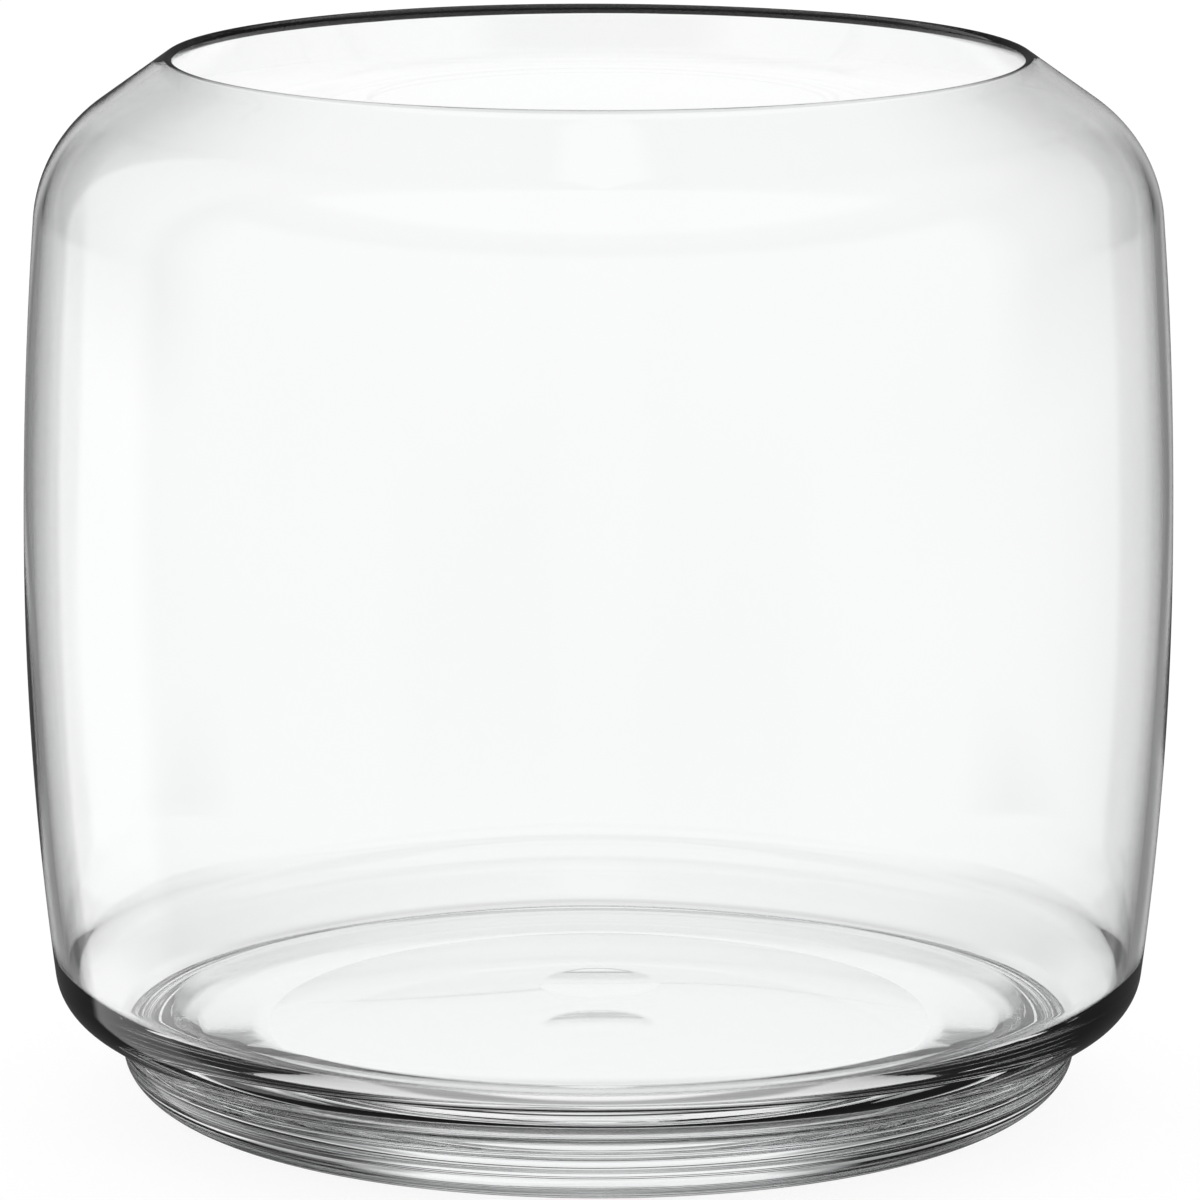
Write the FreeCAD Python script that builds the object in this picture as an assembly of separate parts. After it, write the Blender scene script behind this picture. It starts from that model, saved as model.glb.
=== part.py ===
import FreeCAD, Part

import math
import os

# A blown glass cylinder vase: a barrel body with rounded shoulders and a narrower mouth, standing on
# a smaller solid glass foot. The foot is a second gather of glass that is fused on hot, so the two
# pieces meet over the whole seam. Both are turned about one axis.
# Millimetres, +Z up. The origin is the centre of the plane that the vase rests on.

# Body, outside.
body_radius = 100.0
widest_height = 96.3      # of the body's widest place, above the table
lower_bow = 572.0         # radius of the wall's bow below the widest place
upper_bow = 790.0         # radius of the wall's bow above it
underside_reach = 18.0    # how far the body swings out from the seam to its widest place
underside_angle = 34.0    # degrees above the horizontal
heel_round = 9.4
shoulder_reach = 26.6     # how far the shoulder turns in from the widest place to the mouth
shoulder_angle = 35.5     # degrees below the horizontal
shoulder_round = 25.6
lip_height = 184.6        # crown of the lip above the table
wall = 2.0                # also the thickness of the half-round lip

# Body, inside.
inner_heel_round = 10.0
slope_wall = 4.0          # thickness of the sloping underside
base_thickness = 3.8      # from the seam up to the corner between the slope and the floor
floor_round = 12.0        # soft channel in that corner
floor_tilt = 7.5          # degrees that the floor rises towards its crown, at its edge
mark_radius = 10.0        # shallow dimple that the blowing leaves at the crown
mark_depth = 0.3

# Foot.
foot_height = 11.0        # from the table up to the seam with the body
foot_step = 1.7           # how far the foot stands out beyond the seam
foot_side_reach = 16.2    # how far its rounded side swings out beyond the resting ring
foot_top_round = 0.8      # fire-polished top edge
ring_width = 10.5         # flat ring that meets the table
hollow_depth = 3.0        # height of the shallow hollow inside the ring

# Shared by the pieces and their outlines.
seam_radius = body_radius - underside_reach
mouth_radius = body_radius - shoulder_reach
foot_radius = seam_radius + foot_step


def point(radius, height):
    """A point of an outline that is turned about the vase's axis."""
    return FreeCAD.Vector(radius, 0.0, height)


def direction(degrees):
    """Unit vector in an outline's plane, at an angle above the outward horizontal."""
    angle = math.radians(degrees)
    return point(math.cos(angle), math.sin(angle))


def straight(start, end):
    return Part.LineSegment(start, end).toShape()


def arc_about(centre, start, end):
    """The shorter arc about a centre, from start to end."""
    middle = (start - centre) + (end - centre)
    middle.normalize()
    return Part.Arc(start, centre + middle * (start - centre).Length, end).toShape()


def round_to_bow(on_line, along, inwards, bow_centre, bow_radius, radius):
    """Round that touches a straight line and, from inside, a bowed wall.

    The line goes through on_line in the direction along, and inwards is its unit normal on the
    round's side. Returns the round's centre, its end on the line and its end on the bow.
    """
    start = on_line + inwards * radius
    offset = start - bow_centre
    reach = bow_radius - radius
    half = offset.dot(along)
    distance = math.sqrt(half * half - offset.dot(offset) + reach * reach) - half
    centre = start + along * distance
    outwards = centre - bow_centre
    outwards.normalize()
    return centre, centre - inwards * radius, bow_centre + outwards * bow_radius


def corner_round(corner, first, second, radius):
    """Round in a corner that two lines leave along unit vectors: its centre and its two ends."""
    half_angle = first.getAngle(second) / 2
    bisector = first + second
    bisector.normalize()
    trim = radius / math.tan(half_angle)
    centre = corner + bisector * (radius / math.sin(half_angle))
    return centre, corner + first * trim, corner + second * trim


def turned(edges):
    """Solid made by turning a closed outline about the vase's axis."""
    face = Part.Face(Part.Wire(edges))
    return face.revolve(FreeCAD.Vector(0, 0, 0), FreeCAD.Vector(0, 0, 1), 360)


def make_foot():
    """Solid disc with a rounded side, a flat seat on top, and a shallow hollow inside its ring."""
    ring_outer = foot_radius - foot_side_reach
    ring_inner = ring_outer - ring_width
    side_top = foot_height - foot_top_round

    # The side is a quarter of an oval, level at the ring and upright at its top.
    side_centre = point(ring_outer, side_top)
    side_ends = [point(foot_radius, side_top), point(ring_outer, 0.0)]
    side_ends.sort(key=side_centre.distanceToPoint, reverse=True)
    oval = Part.Ellipse(side_ends[0], side_ends[1], side_centre)
    side = Part.ArcOfEllipse(oval, 0.0, math.pi / 2).toShape()
    top_round = arc_about(
        point(foot_radius - foot_top_round, side_top),
        point(foot_radius, side_top),
        point(foot_radius - foot_top_round, foot_height),
    )

    # The hollow is a shallow cap of a sphere.
    hollow_sphere = (ring_inner ** 2 + hollow_depth ** 2) / (2 * hollow_depth)
    hollow_crown = point(0.0, hollow_depth)

    return turned([
        straight(point(ring_inner, 0.0), point(ring_outer, 0.0)),
        side,
        top_round,
        straight(point(foot_radius - foot_top_round, foot_height), point(0.0, foot_height)),
        straight(point(0.0, foot_height), hollow_crown),
        arc_about(hollow_crown - point(0.0, hollow_sphere), hollow_crown, point(ring_inner, 0.0)),
    ])


def outer_outline():
    """Outside of the body, from the seam up to the lip's outer edge."""
    low_centre = point(body_radius - lower_bow, widest_height)
    high_centre = point(body_radius - upper_bow, widest_height)
    widest = point(body_radius, widest_height)

    seam = point(seam_radius, foot_height)
    heel_centre, heel_start, heel_end = round_to_bow(
        seam, direction(underside_angle), direction(underside_angle + 90), low_centre, lower_bow, heel_round
    )

    lip_centre = point(mouth_radius + wall / 2, lip_height - wall / 2)
    lip_outer = lip_centre + direction(90 - shoulder_angle) * (wall / 2)
    turn_centre, turn_start, turn_end = round_to_bow(
        lip_outer, direction(-shoulder_angle), direction(270 - shoulder_angle), high_centre, upper_bow,
        shoulder_round,
    )
    return [
        straight(seam, heel_start),
        arc_about(heel_centre, heel_start, heel_end),
        arc_about(low_centre, heel_end, widest),
        arc_about(high_centre, widest, turn_end),
        arc_about(turn_centre, turn_end, turn_start),
        straight(turn_start, lip_outer),
    ]


def lip_outline():
    """Half-round lip, as thick as the wall, from its outer edge over the crown to its inner edge."""
    lip_centre = point(mouth_radius + wall / 2, lip_height - wall / 2)
    across = direction(90 - shoulder_angle) * (wall / 2)
    crown = lip_centre + direction(180 - shoulder_angle) * (wall / 2)
    return [Part.Arc(lip_centre + across, crown, lip_centre - across).toShape()]


def inner_outline():
    """Inside of the body, from the lip's inner edge down to the floor's middle, and that last point."""
    low_centre = point(body_radius - lower_bow, widest_height)
    high_centre = point(body_radius - upper_bow, widest_height)
    widest = point(body_radius - wall, widest_height)

    lip_inner = point(mouth_radius + wall / 2, lip_height - wall / 2)
    lip_inner -= direction(90 - shoulder_angle) * (wall / 2)
    turn_centre, turn_start, turn_end = round_to_bow(
        lip_inner, direction(-shoulder_angle), direction(270 - shoulder_angle), high_centre, upper_bow - wall,
        shoulder_round - wall,
    )

    # The channel's corner is where the sloping underside, one slope_wall thick, meets the base height.
    up_slope = direction(underside_angle)
    to_crown = direction(180 - floor_tilt)
    on_slope = point(seam_radius, foot_height) + direction(underside_angle + 90) * slope_wall
    climb = foot_height + base_thickness - on_slope.z
    corner = on_slope + up_slope * (climb / up_slope.z)
    channel_centre, channel_outer, channel_inner = corner_round(corner, up_slope, to_crown, floor_round)
    heel_centre, heel_start, heel_end = round_to_bow(
        corner, up_slope, direction(underside_angle + 90), low_centre, lower_bow - wall, inner_heel_round
    )

    # The floor is a shallow cap of a sphere that carries on from the channel, with the dimple in it.
    floor_sphere = channel_inner.x / math.sin(math.radians(floor_tilt))
    floor_centre = point(0.0, channel_inner.z - floor_sphere * math.cos(math.radians(floor_tilt)))
    mark_edge = point(mark_radius, floor_centre.z + math.sqrt(floor_sphere ** 2 - mark_radius ** 2))
    mark_bottom = point(0.0, mark_edge.z - mark_depth)
    mark_sphere = (mark_radius ** 2 + mark_depth ** 2) / (2 * mark_depth)
    return [
        straight(lip_inner, turn_start),
        arc_about(turn_centre, turn_start, turn_end),
        arc_about(high_centre, turn_end, widest),
        arc_about(low_centre, widest, heel_end),
        arc_about(heel_centre, heel_end, heel_start),
        straight(heel_start, channel_outer),
        arc_about(channel_centre, channel_outer, channel_inner),
        arc_about(floor_centre, channel_inner, mark_edge),
        arc_about(mark_bottom + point(0.0, mark_sphere), mark_edge, mark_bottom),
    ], mark_bottom


def make_vessel():
    """Blown body: sloping underside, bowed wall, shoulder, half-round lip and crowned floor."""
    inside, floor_middle = inner_outline()
    seam_middle = point(0.0, foot_height)
    return turned(
        outer_outline() + lip_outline() + inside
        + [straight(floor_middle, seam_middle), straight(seam_middle, point(seam_radius, foot_height))]
    )


os.makedirs("parts", exist_ok=True)
make_vessel().exportStep("parts/vessel.step")
make_foot().exportStep("parts/foot.step")
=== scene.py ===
import math

import bpy
from bpy.props import FloatProperty, FloatVectorProperty, PointerProperty
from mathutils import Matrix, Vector, noise


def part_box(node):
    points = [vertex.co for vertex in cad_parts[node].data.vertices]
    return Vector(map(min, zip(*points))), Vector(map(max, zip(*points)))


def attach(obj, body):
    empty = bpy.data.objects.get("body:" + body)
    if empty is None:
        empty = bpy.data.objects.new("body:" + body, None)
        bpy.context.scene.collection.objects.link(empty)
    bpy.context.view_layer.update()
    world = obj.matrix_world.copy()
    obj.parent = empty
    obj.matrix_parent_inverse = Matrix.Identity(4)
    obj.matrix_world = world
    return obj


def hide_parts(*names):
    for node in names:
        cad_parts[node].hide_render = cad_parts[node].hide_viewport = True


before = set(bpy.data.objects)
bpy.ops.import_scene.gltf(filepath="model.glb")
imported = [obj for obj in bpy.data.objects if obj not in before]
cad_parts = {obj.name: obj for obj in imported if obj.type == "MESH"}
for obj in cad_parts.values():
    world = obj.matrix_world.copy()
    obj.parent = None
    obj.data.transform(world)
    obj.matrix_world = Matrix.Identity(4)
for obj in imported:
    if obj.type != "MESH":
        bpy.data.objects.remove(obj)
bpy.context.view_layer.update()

bl_info = {
    "name": "Glass cylinder vase",
    "version": (1, 0, 0),
    "blender": (4, 5, 0),
    "location": "View3D > Sidebar > Vase",
    "description": "Builds the blown vessel, its fused foot and the studio they stand in",
    "category": "Object",
}

MM = 0.001
VESSEL_LOW, VESSEL_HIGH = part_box("vessel")
_, FOOT_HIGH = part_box("foot")

# How fine the turned meshes are: places around the axis, and lengths along the outline.
SPOKES = 256
VESSEL_STEP = 1.0 * MM
FOOT_STEP = 0.5 * MM
FOOT_SIDE_STEPS = 96
SEAM_STEPS = 12

# Faint ripples of hand work: how high, how long from one to the next, and where in the noise.
VESSEL_RIPPLE, VESSEL_RIPPLE_LENGTH, VESSEL_RIPPLE_PLACE = 0.10 * MM, 55 * MM, Vector((3.1, 0.7, 1.9))
FOOT_RIPPLE, FOOT_RIPPLE_LENGTH, FOOT_RIPPLE_PLACE = 0.03 * MM, 22 * MM, Vector((0.4, 5.2, 2.6))
RIPPLE_FADE = 5 * MM  # the vessel's ripples begin this far above the seam

WHITE = (1, 1, 1, 1)


def linear(hex_colour):
    """Linear RGBA of an sRGB hex colour such as #ffffff."""
    channels = [int(hex_colour[i:i + 2], 16) / 255 for i in (1, 3, 5)]
    return tuple(c / 12.92 if c <= 0.04045 else ((c + 0.055) / 1.055) ** 2.4 for c in channels) + (1.0,)


def node(tree, kind, settings=None, links=None, **inputs):
    """Adds a node with its settings, its input values and its incoming links."""
    made = tree.nodes.new(kind)
    for key, value in (settings or {}).items():
        setattr(made, key, value)
    for key, value in inputs.items():
        made.inputs[key.replace("_", " ")].default_value = value
    for key, socket in (links or {}).items():
        tree.links.new(socket, made.inputs[key])
    return made


# Outlines. A point is (radius, height) in metres, and angles are above the outward horizontal.

def direction(degrees):
    """Unit vector at an angle."""
    angle = math.radians(degrees)
    return Vector((math.cos(angle), math.sin(angle)))


def straight(start, end, steps=1):
    """Points along a straight stretch, without its start. Its steps only make the mesh finer."""
    return [start.lerp(end, i / steps) for i in range(1, steps + 1)]


def arc(centre, start, end, step):
    """Points along the shorter arc about a centre, without its start, about one step apart."""
    first, last = start - centre, end - centre
    turn = math.atan2(first.x * last.y - first.y * last.x, first.dot(last))
    steps = max(6, math.ceil(abs(turn) * first.length / step))
    points = []
    for i in range(1, steps + 1):
        angle = turn * i / steps
        spoke = Vector((
            first.x * math.cos(angle) - first.y * math.sin(angle),
            first.x * math.sin(angle) + first.y * math.cos(angle),
        ))
        points.append(centre + spoke)
    return points


def round_to_bow(on_line, along, inwards, bow_centre, bow_radius, radius):
    """Round between a straight slope and the bowed wall: its centre, its end on each."""
    start = on_line + inwards * radius
    offset = start - bow_centre
    reach = bow_radius - radius
    half = offset.dot(along)
    distance = math.sqrt(half * half - offset.length_squared + reach * reach) - half
    centre = start + along * distance
    return centre, centre - inwards * radius, bow_centre + (centre - bow_centre).normalized() * bow_radius


def corner_round(corner, first, second, radius):
    """Round in a corner that two straight stretches leave: its centre and its two ends."""
    half_angle = first.angle(second) / 2
    trim = radius / math.tan(half_angle)
    centre = corner + (first + second).normalized() * (radius / math.sin(half_angle))
    return centre, corner + first * trim, corner + second * trim


def outer_outline(s, seam_height, widest, step):
    """Outside of the vessel, from the seam up to the outer edge of the lip."""
    low_centre = widest - Vector((s.lower_bow, 0))
    high_centre = widest - Vector((s.upper_bow, 0))
    seam = Vector((s.seam_radius, seam_height))
    heel, heel_start, heel_end = round_to_bow(
        seam, direction(s.underside_angle), direction(s.underside_angle + 90), low_centre, s.lower_bow,
        s.heel_round,
    )
    lip_outer = lip_centre(s) + direction(90 - s.shoulder_angle) * (s.wall / 2)
    turn, turn_start, turn_end = round_to_bow(
        lip_outer, direction(-s.shoulder_angle), direction(270 - s.shoulder_angle), high_centre,
        s.upper_bow, s.shoulder_round,
    )
    return (
        straight(seam, heel_start, 8) + arc(heel, heel_start, heel_end, step / 4)
        + arc(low_centre, heel_end, widest, step) + arc(high_centre, widest, turn_end, step)
        + arc(turn, turn_end, turn_start, step / 2) + straight(turn_start, lip_outer, 6)
    )


def lip_centre(s):
    """Middle of the half round that the lip is turned from."""
    return Vector((s.mouth_radius + s.wall / 2, VESSEL_HIGH.z - s.wall / 2))


def lip_outline(s):
    """Half-round lip, from its outer edge over the crown to its inner edge."""
    across = direction(90 - s.shoulder_angle) * (s.wall / 2)
    crown = direction(180 - s.shoulder_angle) * (s.wall / 2)
    middle = lip_centre(s)
    step = s.wall / 20
    outer_half = arc(middle, middle + across, middle + crown, step)
    return outer_half + arc(middle, middle + crown, middle - across, step)


def inner_outline(s, seam_height, widest, step):
    """Inside of the vessel, from the inner edge of the lip down to the middle of the floor."""
    low_centre = widest - Vector((s.lower_bow, 0))
    high_centre = widest - Vector((s.upper_bow, 0))
    inner_widest = widest - Vector((s.wall, 0))
    lip_inner = lip_centre(s) - direction(90 - s.shoulder_angle) * (s.wall / 2)
    turn, turn_start, turn_end = round_to_bow(
        lip_inner, direction(-s.shoulder_angle), direction(270 - s.shoulder_angle), high_centre,
        s.upper_bow - s.wall, s.shoulder_round - s.wall,
    )
    up_slope = direction(s.underside_angle)
    on_slope = Vector((s.seam_radius, seam_height)) + direction(s.underside_angle + 90) * s.slope_wall
    corner = on_slope + up_slope * ((seam_height + s.base_thickness - on_slope.y) / up_slope.y)
    channel, channel_outer, channel_inner = corner_round(
        corner, up_slope, direction(180 - s.floor_tilt), s.floor_round
    )
    heel, heel_start, heel_end = round_to_bow(
        corner, up_slope, direction(s.underside_angle + 90), low_centre, s.lower_bow - s.wall,
        s.inner_heel_round,
    )
    tilt = math.radians(s.floor_tilt)
    sphere = channel_inner.x / math.sin(tilt)
    floor_centre = Vector((0, channel_inner.y - sphere * math.cos(tilt)))
    mark_edge = Vector((s.mark_radius, floor_centre.y + math.sqrt(sphere ** 2 - s.mark_radius ** 2)))
    mark_bottom = Vector((0, mark_edge.y - s.mark_depth))
    mark_sphere = (s.mark_radius ** 2 + s.mark_depth ** 2) / (2 * s.mark_depth)
    return (
        straight(lip_inner, turn_start, 6) + arc(turn, turn_start, turn_end, step / 2)
        + arc(high_centre, turn_end, inner_widest, step) + arc(low_centre, inner_widest, heel_end, step)
        + arc(heel, heel_end, heel_start, step / 4) + straight(heel_start, channel_outer, 3)
        + arc(channel, channel_outer, channel_inner, step / 4)
        + arc(floor_centre, channel_inner, mark_edge, step)
        + arc(mark_bottom + Vector((0, mark_sphere)), mark_edge, mark_bottom, step / 2)
    )


def foot_outline(s, seam_radius, step):
    """Foot from the middle of its hollow, out round its side, to the seam's edge."""
    foot_radius, seam_height = FOOT_HIGH.x, FOOT_HIGH.z
    ring_outer = foot_radius - s.side_reach
    ring_inner = ring_outer - s.ring_width
    side_top = seam_height - s.top_round
    sphere = (ring_inner ** 2 + s.hollow_depth ** 2) / (2 * s.hollow_depth)
    crown = Vector((0, s.hollow_depth))
    side = []
    for i in range(1, FOOT_SIDE_STEPS + 1):
        angle = math.pi / 2 * i / FOOT_SIDE_STEPS
        side.append(Vector((ring_outer + s.side_reach * math.sin(angle), side_top * (1 - math.cos(angle)))))
    top_inner = Vector((foot_radius - s.top_round, seam_height))
    return (
        [crown] + arc(crown - Vector((0, sphere)), crown, Vector((ring_inner, 0)), step)
        + straight(Vector((ring_inner, 0)), Vector((ring_outer, 0)), 4) + side
        + arc(Vector((foot_radius - s.top_round, side_top)), side[-1], top_inner, s.top_round / 6)
        + straight(top_inner, Vector((seam_radius, seam_height)), 3)
    )


def lathe(name, outline, fused, ripple):
    """Turns an outline that starts and ends on the axis into a closed mesh.

    fused tells whether the stretch that ends at a point of the outline is the hot seam, which takes
    the second material. ripple gives how far a place stands off the true outline, along its normal.
    """
    count = len(outline)
    vertices = []
    for i, point in enumerate(outline):
        ahead = outline[min(i + 1, count - 1)] - outline[max(i - 1, 0)]
        normal = Vector((ahead.y, -ahead.x)).normalized()
        on_axis = i in (0, count - 1)
        for j in range(1 if on_axis else SPOKES):
            angle = 2 * math.pi * j / SPOKES
            place = Vector((point.x * math.cos(angle), point.x * math.sin(angle), point.y))
            off = normal * ripple(place)
            out = 0.0 if on_axis else point.x + off.x
            vertices.append((out * math.cos(angle), out * math.sin(angle), point.y + off.y))
    faces, slots = [], []
    for i in range(count - 1):
        for j in range(SPOKES):
            k = (j + 1) % SPOKES
            low, high = 1 + (i - 1) * SPOKES, 1 + i * SPOKES
            if i == 0:
                faces.append((0, high + k, high + j))
            elif i == count - 2:
                faces.append((low + j, low + k, len(vertices) - 1))
            else:
                faces.append((low + j, low + k, high + k, high + j))
            slots.append(1 if fused(i + 1) else 0)
    mesh = bpy.data.meshes.new(name)
    mesh.from_pydata(vertices, [], faces)
    mesh.update()
    mesh.polygons.foreach_set("material_index", slots)
    mesh.polygons.foreach_set("use_smooth", [True] * len(faces))
    mesh.set_sharp_from_angle(angle=math.radians(30))
    piece = bpy.data.objects.new(name, mesh)
    bpy.context.scene.collection.objects.link(piece)
    return piece


# Materials.

def stepped_ramp(tree, value, stops, low, high):
    """Grey ramp over a value's range, from (value, level) stops."""
    share = node(tree, "ShaderNodeMapRange", links={"Value": value})
    share.inputs["From Min"].default_value = low
    share.inputs["From Max"].default_value = high
    ramp = node(tree, "ShaderNodeValToRGB", links={"Fac": share.outputs[0]})
    elements = ramp.color_ramp.elements
    while len(elements) < len(stops):
        elements.new(0.5)
    for element, (place, level) in zip(elements, stops):
        element.position = (place - low) / (high - low)
        element.color = (level, level, level, 1)
    return ramp.outputs["Color"]


def mixed(tree, factor, first, second, blend="MIX"):
    """Colour between two, each given as a colour or as another node's output."""
    made = node(tree, "ShaderNodeMix", {"data_type": "RGBA", "blend_type": blend})
    for socket, value in zip((made.inputs[0], made.inputs[6], made.inputs[7]), (factor, first, second)):
        if isinstance(value, bpy.types.NodeSocket):
            tree.links.new(value, socket)
        else:
            socket.default_value = value
    return made.outputs[2]


def fire_polished_glass(name, sizes, cord_length):
    """Clear soda-lime glass, fire-polished.

    Its skin was melted smooth, so the eye gets sharp reflections and dark edges, and no grain. Long
    cords, where the melt mixed less, tint it just enough that the clear parts aren't flat white.
    """
    material = bpy.data.materials.new(name)
    material.use_nodes = True
    tree = material.node_tree
    tree.nodes.clear()
    place = node(tree, "ShaderNodeTexCoord")
    cords = node(
        tree, "ShaderNodeTexNoise", links={"Vector": place.outputs["Object"]},
        Scale=1 / cord_length, Detail=1.0, Roughness=0.4,
    )
    tint = mixed(tree, cords.outputs["Fac"], sizes.pale_tint, sizes.deep_tint)
    glass = node(
        tree, "ShaderNodeBsdfPrincipled", links={"Base Color": tint}, Roughness=0.0, IOR=1.52,
        Transmission_Weight=1.0,
    )
    node(tree, "ShaderNodeOutputMaterial", links={"Surface": glass.outputs["BSDF"]})
    return material


def fused_seam_glass(name):
    """Where two gathers are fused hot the glass is continuous, so the seam bends no light.

    The eye sees straight through it, as if the foot and the floor were one piece of glass.
    """
    material = bpy.data.materials.new(name)
    material.use_nodes = True
    tree = material.node_tree
    tree.nodes.clear()
    clear = node(tree, "ShaderNodeBsdfTransparent")
    node(tree, "ShaderNodeOutputMaterial", links={"Surface": clear.outputs["BSDF"]})
    return material


# Sizes that a user would change.

class VesselSizes(bpy.types.PropertyGroup):
    """Sizes of the blown vessel."""

    widest_height: FloatProperty(
        name="Widest height", description="Height of the widest place", default=96.3 * MM,
        unit="LENGTH",
    )
    lower_bow: FloatProperty(
        name="Lower bow", description="Radius of the wall's bow below the widest place", default=572 * MM,
        unit="LENGTH",
    )
    upper_bow: FloatProperty(
        name="Upper bow", description="Radius of the wall's bow above the widest place", default=790 * MM,
        unit="LENGTH",
    )
    seam_radius: FloatProperty(
        name="Seam radius", description="Where the underside leaves the foot", default=82.0 * MM,
        unit="LENGTH",
    )
    underside_angle: FloatProperty(
        name="Underside angle", description="Degrees above the horizontal", default=34.0
    )
    heel_round: FloatProperty(
        name="Heel round", description="Outer round at the bottom of the wall", default=9.4 * MM,
        unit="LENGTH",
    )
    mouth_radius: FloatProperty(
        name="Mouth radius", description="Clear opening inside the lip", default=73.4 * MM, unit="LENGTH"
    )
    shoulder_angle: FloatProperty(
        name="Shoulder angle", description="Degrees below the horizontal", default=35.5
    )
    shoulder_round: FloatProperty(
        name="Shoulder round", description="Outer round of the shoulder", default=25.6 * MM, unit="LENGTH"
    )
    wall: FloatProperty(
        name="Wall", description="Thickness of the wall and of the lip", default=2.0 * MM, unit="LENGTH"
    )
    inner_heel_round: FloatProperty(
        name="Inner heel round", description="Inner round at the bottom of the wall", default=10 * MM,
        unit="LENGTH",
    )
    slope_wall: FloatProperty(
        name="Slope wall", description="Thickness of the sloping underside", default=4.0 * MM, unit="LENGTH"
    )
    base_thickness: FloatProperty(
        name="Base thickness", description="From the seam to the corner of the floor", default=3.8 * MM,
        unit="LENGTH",
    )
    floor_round: FloatProperty(
        name="Floor round", description="Soft channel around the floor", default=12 * MM, unit="LENGTH"
    )
    floor_tilt: FloatProperty(
        name="Floor tilt", description="Degrees that the floor's edge rises inwards", default=7.5
    )
    mark_radius: FloatProperty(
        name="Mark radius", description="Dimple at the floor's crown", default=10 * MM, unit="LENGTH"
    )
    mark_depth: FloatProperty(
        name="Mark depth", description="Depth of that dimple", default=0.3 * MM, unit="LENGTH"
    )
    pale_tint: FloatVectorProperty(
        name="Pale tint", description="Glass between the cords", default=linear("#ffffff"), size=4,
        subtype="COLOR", min=0, max=1,
    )
    deep_tint: FloatVectorProperty(
        name="Deep tint", description="Glass in the cords", default=linear("#fcfdfd"), size=4,
        subtype="COLOR", min=0, max=1,
    )


class FootSizes(bpy.types.PropertyGroup):
    """Sizes of the solid foot."""

    side_reach: FloatProperty(
        name="Side reach", description="From the resting ring out to the side", default=16.2 * MM,
        unit="LENGTH",
    )
    top_round: FloatProperty(
        name="Top round", description="Fire-polished top edge", default=0.8 * MM, unit="LENGTH"
    )
    ring_width: FloatProperty(
        name="Ring width", description="Flat ring that meets the table", default=10.5 * MM, unit="LENGTH"
    )
    hollow_depth: FloatProperty(
        name="Hollow depth", description="Hollow inside the resting ring", default=3 * MM, unit="LENGTH"
    )
    pale_tint: FloatVectorProperty(
        name="Pale tint", description="Glass between the cords", default=linear("#fdfefe"), size=4,
        subtype="COLOR", min=0, max=1,
    )
    deep_tint: FloatVectorProperty(
        name="Deep tint", description="Glass in the cords", default=linear("#f8fbfb"), size=4,
        subtype="COLOR", min=0, max=1,
    )


class StudioSizes(bpy.types.PropertyGroup):
    """The camera and the lamp."""

    lens: FloatProperty(name="Lens", description="Focal length", default=240.8, unit="CAMERA")
    camera_distance: FloatProperty(
        name="Camera distance", description="In front of the vase's axis", default=1376.5 * MM,
        unit="LENGTH",
    )
    camera_height: FloatProperty(
        name="Camera height", description="Above the table", default=354.9 * MM, unit="LENGTH"
    )
    camera_aside: FloatProperty(
        name="Camera aside", description="To the right of the vase's axis", default=0.26 * MM,
        unit="LENGTH",
    )
    camera_tilt: FloatProperty(
        name="Camera tilt", description="How far it looks down", default=0.191, subtype="ANGLE"
    )
    lamp_power: FloatProperty(
        name="Lamp power", description="Soft box over the vase", default=3.0, unit="POWER"
    )
    lamp_width: FloatProperty(
        name="Lamp width", description="Across the soft box", default=1.0, unit="LENGTH"
    )
    lamp_behind: FloatProperty(
        name="Lamp behind", description="Behind the vase's axis", default=0.2, unit="LENGTH"
    )
    lamp_height: FloatProperty(
        name="Lamp height", description="Above the table", default=1.6, unit="LENGTH"
    )


class VaseSettings(bpy.types.PropertyGroup):
    """Everything that the operators read."""

    vessel: PointerProperty(type=VesselSizes)
    foot: PointerProperty(type=FootSizes)
    studio: PointerProperty(type=StudioSizes)


class VASE_OT_vessel(bpy.types.Operator):
    """Build the blown vessel"""

    bl_idname = "vase.vessel"
    bl_label = "Blown vessel"

    def execute(self, context):
        s = context.scene.vase.vessel
        seam_height = VESSEL_LOW.z
        widest = Vector((VESSEL_HIGH.x, s.widest_height))
        seam = [Vector((0, seam_height))] + straight(
            Vector((0, seam_height)), Vector((s.seam_radius, seam_height)), SEAM_STEPS
        )
        outline = (
            seam + outer_outline(s, seam_height, widest, VESSEL_STEP) + lip_outline(s)
            + inner_outline(s, seam_height, widest, VESSEL_STEP)
        )

        def ripple(place):
            free = min(1.0, max(0.0, (place.z - seam_height) / RIPPLE_FADE))
            wave = noise.noise(place / VESSEL_RIPPLE_LENGTH + VESSEL_RIPPLE_PLACE)
            return VESSEL_RIPPLE * free * wave

        piece = lathe("blown_vessel", outline, lambda i: i < len(seam), ripple)
        piece.data.materials.append(fire_polished_glass("blown_soda_lime_glass", s, 60 * MM))
        piece.data.materials.append(fused_seam_glass("vessel_side_of_hot_seam"))
        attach(piece, "root")
        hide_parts("vessel")
        return {"FINISHED"}


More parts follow.
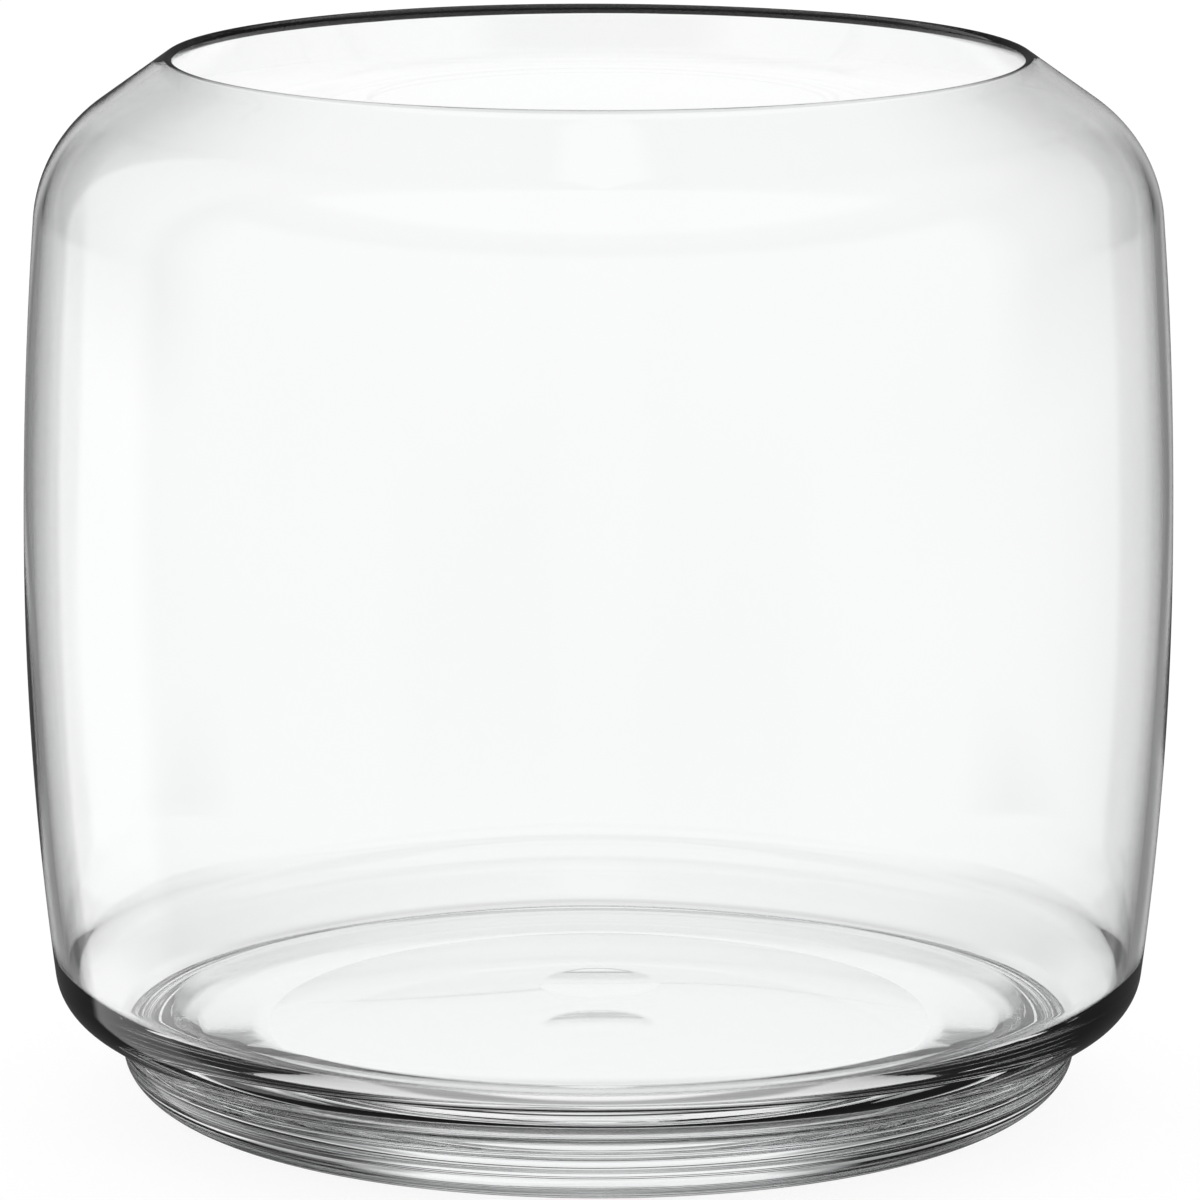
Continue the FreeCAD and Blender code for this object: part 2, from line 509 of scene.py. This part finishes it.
class VASE_OT_foot(bpy.types.Operator):
    """Build the solid foot that is fused under the vessel"""

    bl_idname = "vase.foot"
    bl_label = "Solid foot"

    def execute(self, context):
        s = context.scene.vase.foot
        seam_radius = context.scene.vase.vessel.seam_radius
        seam_height = FOOT_HIGH.z
        ring_outer = FOOT_HIGH.x - s.side_reach
        outline = foot_outline(s, seam_radius, FOOT_STEP)
        free_count = len(outline)
        outline += straight(Vector((seam_radius, seam_height)), Vector((0, seam_height)), SEAM_STEPS)

        def ripple(place):
            if place.xy.length <= ring_outer:
                return 0.0
            share = max(0.0, min(1.0, place.z / seam_height))
            wave = noise.noise(place / FOOT_RIPPLE_LENGTH + FOOT_RIPPLE_PLACE)
            return FOOT_RIPPLE * 4 * share * (1 - share) * wave

        piece = lathe("solid_foot", outline, lambda i: i >= free_count, ripple)
        piece.data.materials.append(fire_polished_glass("gathered_foot_glass", s, 30 * MM))
        piece.data.materials.append(fused_seam_glass("foot_side_of_hot_seam"))
        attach(piece, "root")
        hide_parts("foot")
        return {"FINISHED"}


class VASE_OT_studio(bpy.types.Operator):
    """Set up the floor, the light and the camera"""

    bl_idname = "vase.studio"
    bl_label = "Studio"

    def execute(self, context):
        scene = context.scene
        make_floor()
        make_world(scene)
        make_lamp(scene, scene.vase.studio)
        make_camera(scene, scene.vase.studio)
        scene.view_settings.view_transform = "Standard"
        # Light is mirrored many times inside the thick heel and foot. The cut leaves their ends dark.
        for kind in ("max_bounces", "glossy_bounces", "transmission_bounces", "transparent_max_bounces"):
            setattr(scene.cycles, kind, GLASS_BOUNCES)
        return {"FINISHED"}


GLASS_BOUNCES = 9
FLOOR_REACH = 6.0
FLOOR_GAP = 0.02 * MM  # keeps the floor's face apart from the resting ring's
# The floor's white is mostly its own glow. The paint adds the rest, and takes the vase's shadow.
FLOOR_GLOW, FLOOR_PAINT = 0.9, 0.12


def make_floor():
    """Pale floor. From above it is white with the vase's soft shadow; from below it is clear."""
    mesh = bpy.data.meshes.new("floor")
    corners = [(x * FLOOR_REACH, y * FLOOR_REACH, 0) for x, y in ((-1, -1), (1, -1), (1, 1), (-1, 1))]
    mesh.from_pydata(corners, [], [(0, 1, 2, 3)])
    floor = bpy.data.objects.new("floor", mesh)
    bpy.context.scene.collection.objects.link(floor)
    floor.location.z = -FLOOR_GAP
    floor.visible_glossy = False
    floor.visible_transmission = False
    material = bpy.data.materials.new("white_studio_floor")
    material.use_nodes = True
    tree = material.node_tree
    tree.nodes.clear()
    paint = node(tree, "ShaderNodeBsdfDiffuse", Color=(FLOOR_PAINT, FLOOR_PAINT, FLOOR_PAINT, 1))
    glow = node(tree, "ShaderNodeEmission", Color=WHITE, Strength=FLOOR_GLOW)
    both = node(tree, "ShaderNodeAddShader", links={0: paint.outputs[0], 1: glow.outputs[0]})
    clear = node(tree, "ShaderNodeBsdfTransparent")
    side = node(tree, "ShaderNodeNewGeometry")
    mix = node(
        tree, "ShaderNodeMixShader",
        links={0: side.outputs["Backfacing"], 1: both.outputs[0], 2: clear.outputs[0]},
    )
    node(tree, "ShaderNodeOutputMaterial", links={"Surface": mix.outputs[0]})
    mesh.materials.append(material)


# The studio's grey cards, which draw the edges of clear glass. Stops by direction are degrees from
# straight behind the vase, left below zero, with a brightness. Stops by height are sines of the
# height above the horizon, with a brightness or a share.

# What the glass mirrors: a light strip on the left, dark cards behind, and grey all around. The
# cards end below the overhead light.
MIRRORED = [
    (-180, 0.35), (-82, 0.35), (-75, 1.0), (-46, 1.0), (-43, 0.08), (45, 0.08), (75, 0.15), (110, 0.35),
    (180, 0.35),
]
CARD_SHARE = [(-1.0, 1.0), (0.5, 1.0), (0.8, 0.0), (1.0, 0.0)]

# What shows through the glass: narrow cards on both sides, at the height of the vase, which reach
# only a little below the horizon, so that the ground straight down stays white.
SEEN_THROUGH = [
    (-180, 1.0), (-39, 1.0), (-36, 0.35), (-18, 0.35), (-14, 1.0), (14, 1.0), (18, 0.35), (36, 0.35),
    (39, 1.0),
]
LOW_SHARE = [(-1.0, 0.0), (-0.5, 0.0), (-0.35, 1.0), (1.0, 1.0)]

# Wider, black cards stand above them. Light reaches the eye from there mostly through thick glass.
SEEN_ABOVE = [
    (-180, 1.0), (-95, 1.0), (-80, 0.0), (-24, 0.0), (-15, 1.0), (15, 1.0), (24, 0.0), (80, 0.0),
    (95, 1.0),
]
RISING_SHARE = [(-1.0, 0.0), (-0.12, 0.0), (-0.06, 1.0), (1.0, 1.0)]

# Behind the vase the table darkens in its shadow, most close to it, and the backdrop is a little
# darker above.
BEHIND = [(-180, 0.0), (-55, 0.0), (-40, 1.0), (40, 1.0), (55, 0.0), (180, 0.0)]
BEHIND_SHADE = [
    (-1.0, 1.0), (-0.95, 1.0), (-0.935, 0.42), (-0.885, 0.42), (-0.86, 0.82), (-0.48, 0.82),
    (-0.4, 0.97), (-0.33, 1.0), (0.12, 1.0), (0.17, 0.95), (1.0, 0.95),
]

# The ceiling is dark around the overhead light. Only the thick glass shows it.
CEILING_SHADE = [(-1.0, 1.0), (0.5, 1.0), (0.58, 0.1), (0.75, 0.1), (0.8, 0.7), (1.0, 0.7)]


def make_world(scene):
    """White studio with the grey cards, which only the glass shows."""
    world = bpy.data.worlds.new("studio")
    world.use_nodes = True
    scene.world = world
    tree = world.node_tree
    tree.nodes.clear()
    place = node(tree, "ShaderNodeTexCoord")
    axes = node(tree, "ShaderNodeSeparateXYZ", links={"Vector": place.outputs["Generated"]})
    around = node(
        tree, "ShaderNodeMath", {"operation": "ARCTAN2"}, {0: axes.outputs["X"], 1: axes.outputs["Y"]}
    )
    degrees = node(tree, "ShaderNodeMath", {"operation": "DEGREES"}, {0: around.outputs[0]})

    def by_direction(stops):
        return stepped_ramp(tree, degrees.outputs[0], stops, -180, 180)

    def by_height(stops):
        return stepped_ramp(tree, axes.outputs["Z"], stops, -1, 1)

    mirrored = mixed(tree, by_height(CARD_SHARE), WHITE, by_direction(MIRRORED))
    through = mixed(tree, by_height(LOW_SHARE), WHITE, by_direction(SEEN_THROUGH))
    through = mixed(tree, by_height(RISING_SHARE), through, by_direction(SEEN_ABOVE))
    shaded = mixed(tree, 1.0, through, by_height(BEHIND_SHADE), "MULTIPLY")
    through = mixed(tree, by_direction(BEHIND), through, shaded)
    through = mixed(tree, 1.0, through, by_height(CEILING_SHADE), "MULTIPLY")

    # A ray that clear glass lets through counts as glossy too, so that kind is told apart last.
    light = node(tree, "ShaderNodeLightPath")
    seen = mixed(tree, light.outputs["Is Glossy Ray"], WHITE, mirrored)
    seen = mixed(tree, light.outputs["Is Transmission Ray"], seen, through)
    sky = node(tree, "ShaderNodeBackground", links={"Color": seen}, Strength=1.0)
    node(tree, "ShaderNodeOutputWorld", links={"Surface": sky.outputs[0]})


def make_lamp(scene, s):
    """One large soft lamp, a little behind the vase and over it, for its shadow on the floor."""
    lamp = bpy.data.lights.new("overhead_soft_box", "AREA")
    lamp.shape = "DISK"
    lamp.size = s.lamp_width
    lamp.energy = s.lamp_power
    holder = bpy.data.objects.new("overhead_soft_box", lamp)
    holder.location = (0, s.lamp_behind, s.lamp_height)
    holder.visible_glossy = False
    holder.visible_transmission = False
    scene.collection.objects.link(holder)


def make_camera(scene, s):
    """Long lens, slightly above the rim, looking a little down."""
    lens = bpy.data.cameras.new("camera")
    lens.lens = s.lens
    lens.sensor_width = 36
    camera = bpy.data.objects.new("camera", lens)
    camera.location = (s.camera_aside, -s.camera_distance, s.camera_height)
    camera.rotation_euler = (math.pi / 2 - s.camera_tilt, 0, 0)
    scene.collection.objects.link(camera)
    scene.camera = camera


class VASE_PT_parts(bpy.types.Panel):
    """Lists the pieces and the sizes"""

    bl_idname = "VASE_PT_parts"
    bl_label = "Glass cylinder vase"
    bl_space_type = "VIEW_3D"
    bl_region_type = "UI"
    bl_category = "Vase"

    def draw(self, context):
        for group in ("vessel", "foot", "studio"):
            box = self.layout.box()
            sizes = getattr(context.scene.vase, group)
            for name in type(sizes).__annotations__:
                box.prop(sizes, name)
            box.operator("vase." + group)


CLASSES = (
    VesselSizes, FootSizes, StudioSizes, VaseSettings, VASE_OT_vessel, VASE_OT_foot, VASE_OT_studio,
    VASE_PT_parts,
)


def register():
    for cls in CLASSES:
        bpy.utils.register_class(cls)
    bpy.types.Scene.vase = PointerProperty(type=VaseSettings)


def unregister():
    del bpy.types.Scene.vase
    for cls in reversed(CLASSES):
        bpy.utils.unregister_class(cls)


def main():
    register()
    bpy.ops.vase.vessel()
    bpy.ops.vase.foot()
    bpy.ops.vase.studio()


if __name__ == "__main__":
    main()
